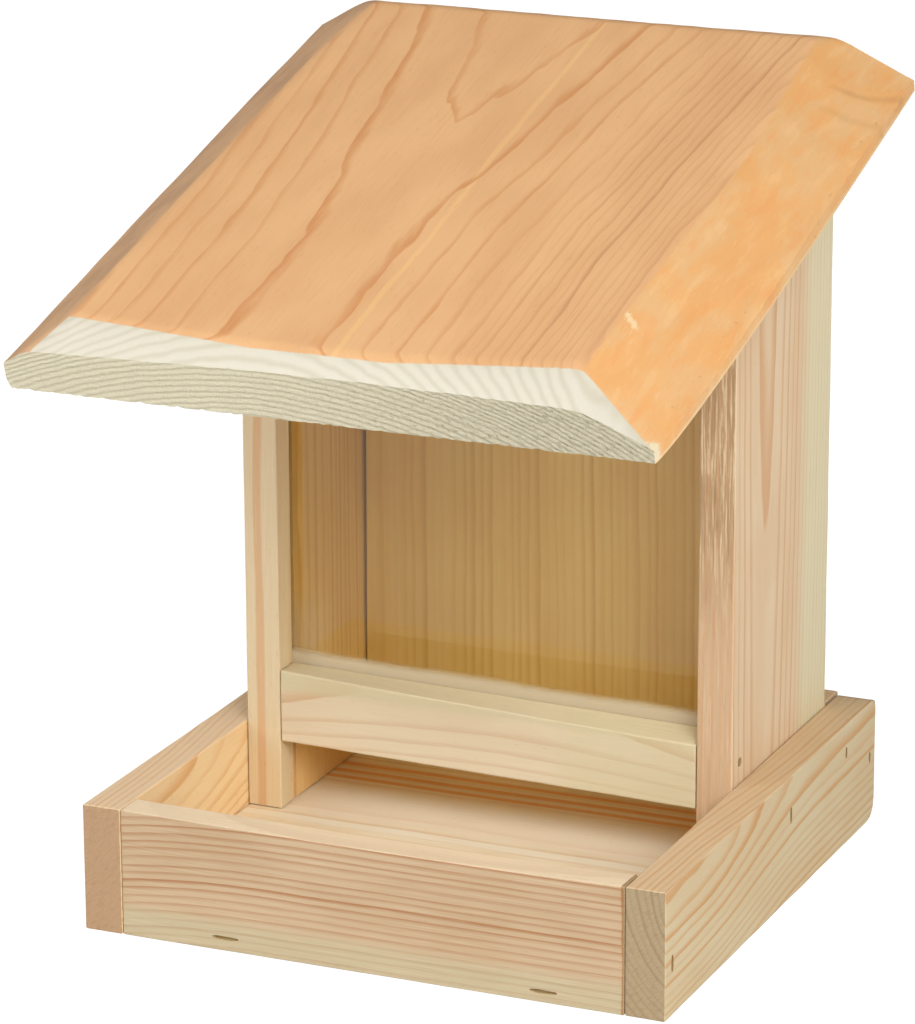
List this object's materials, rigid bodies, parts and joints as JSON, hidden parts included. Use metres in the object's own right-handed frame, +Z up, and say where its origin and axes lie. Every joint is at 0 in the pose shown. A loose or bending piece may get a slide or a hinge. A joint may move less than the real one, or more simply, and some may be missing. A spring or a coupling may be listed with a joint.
{
  "type": "bird feeder",
  "caption": "Free-standing wooden silo bird feeder: low tray, clear-fronted seed hopper with a feed slot, and a thick planed plank roof that hinges open at the back.",
  "frame": {"origin": "centre of the flat underside that the tray stands on", "axes": "+X to the right seen from the front, +Y to the back where the roof's hinges are, +Z up"},
  "size_m": [0.2906, 0.3187, 0.3634],
  "materials": {
    "pine": "bare planed pine",
    "roof_pine": "bare hand-planed pine, more orange",
    "pane_plastic": "clear",
    "zinc_steel": "zinc plated"
  },
  "bodies": {
    "base": {"floor_board": "pine", "front_lip": "pine", "back_lip": "pine", "left_lip": "pine", "right_lip": "pine", "left_wall": "pine", "right_wall": "pine", "back_board": "pine", "feed_rail": "pine", "pane": "pane_plastic", "hinge_left_frame_leaf": "zinc_steel", "hinge_left_pin": "zinc_steel", "hinge_right_frame_leaf": "zinc_steel", "hinge_right_pin": "zinc_steel", "hinge_left_frame_screw_a": "zinc_steel", "hinge_left_frame_screw_b": "zinc_steel", "hinge_right_frame_screw_a": "zinc_steel", "hinge_right_frame_screw_b": "zinc_steel", "front_staple_left": "zinc_steel", "front_staple_right": "zinc_steel", "back_staple_left": "zinc_steel", "back_staple_right": "zinc_steel", "left_staple_front": "zinc_steel", "left_staple_wall_front": "zinc_steel", "left_staple_wall_back": "zinc_steel", "left_staple_back": "zinc_steel", "right_staple_front": "zinc_steel", "right_staple_wall_front": "zinc_steel", "right_staple_wall_back": "zinc_steel", "right_staple_back": "zinc_steel", "foot_staple_left": "zinc_steel", "foot_staple_right": "zinc_steel", "rail_brad_left": "zinc_steel", "rail_brad_right": "zinc_steel", "pane_rest_left": "zinc_steel", "pane_rest_right": "zinc_steel"},
    "roof": {"roof_plank": "roof_pine", "hinge_left_roof_leaf": "zinc_steel", "hinge_right_roof_leaf": "zinc_steel", "hinge_left_roof_screw_a": "zinc_steel", "hinge_left_roof_screw_b": "zinc_steel", "hinge_right_roof_screw_a": "zinc_steel", "hinge_right_roof_screw_b": "zinc_steel"}
  },
  "joints": [
    {"name": "roof_hinge", "type": "hinge", "parent": "base", "child": "roof", "pos_m": [0, 0.11448, 0.32876], "axis": [-1, 0, 0], "range_deg": [0, 100]}
  ]
}
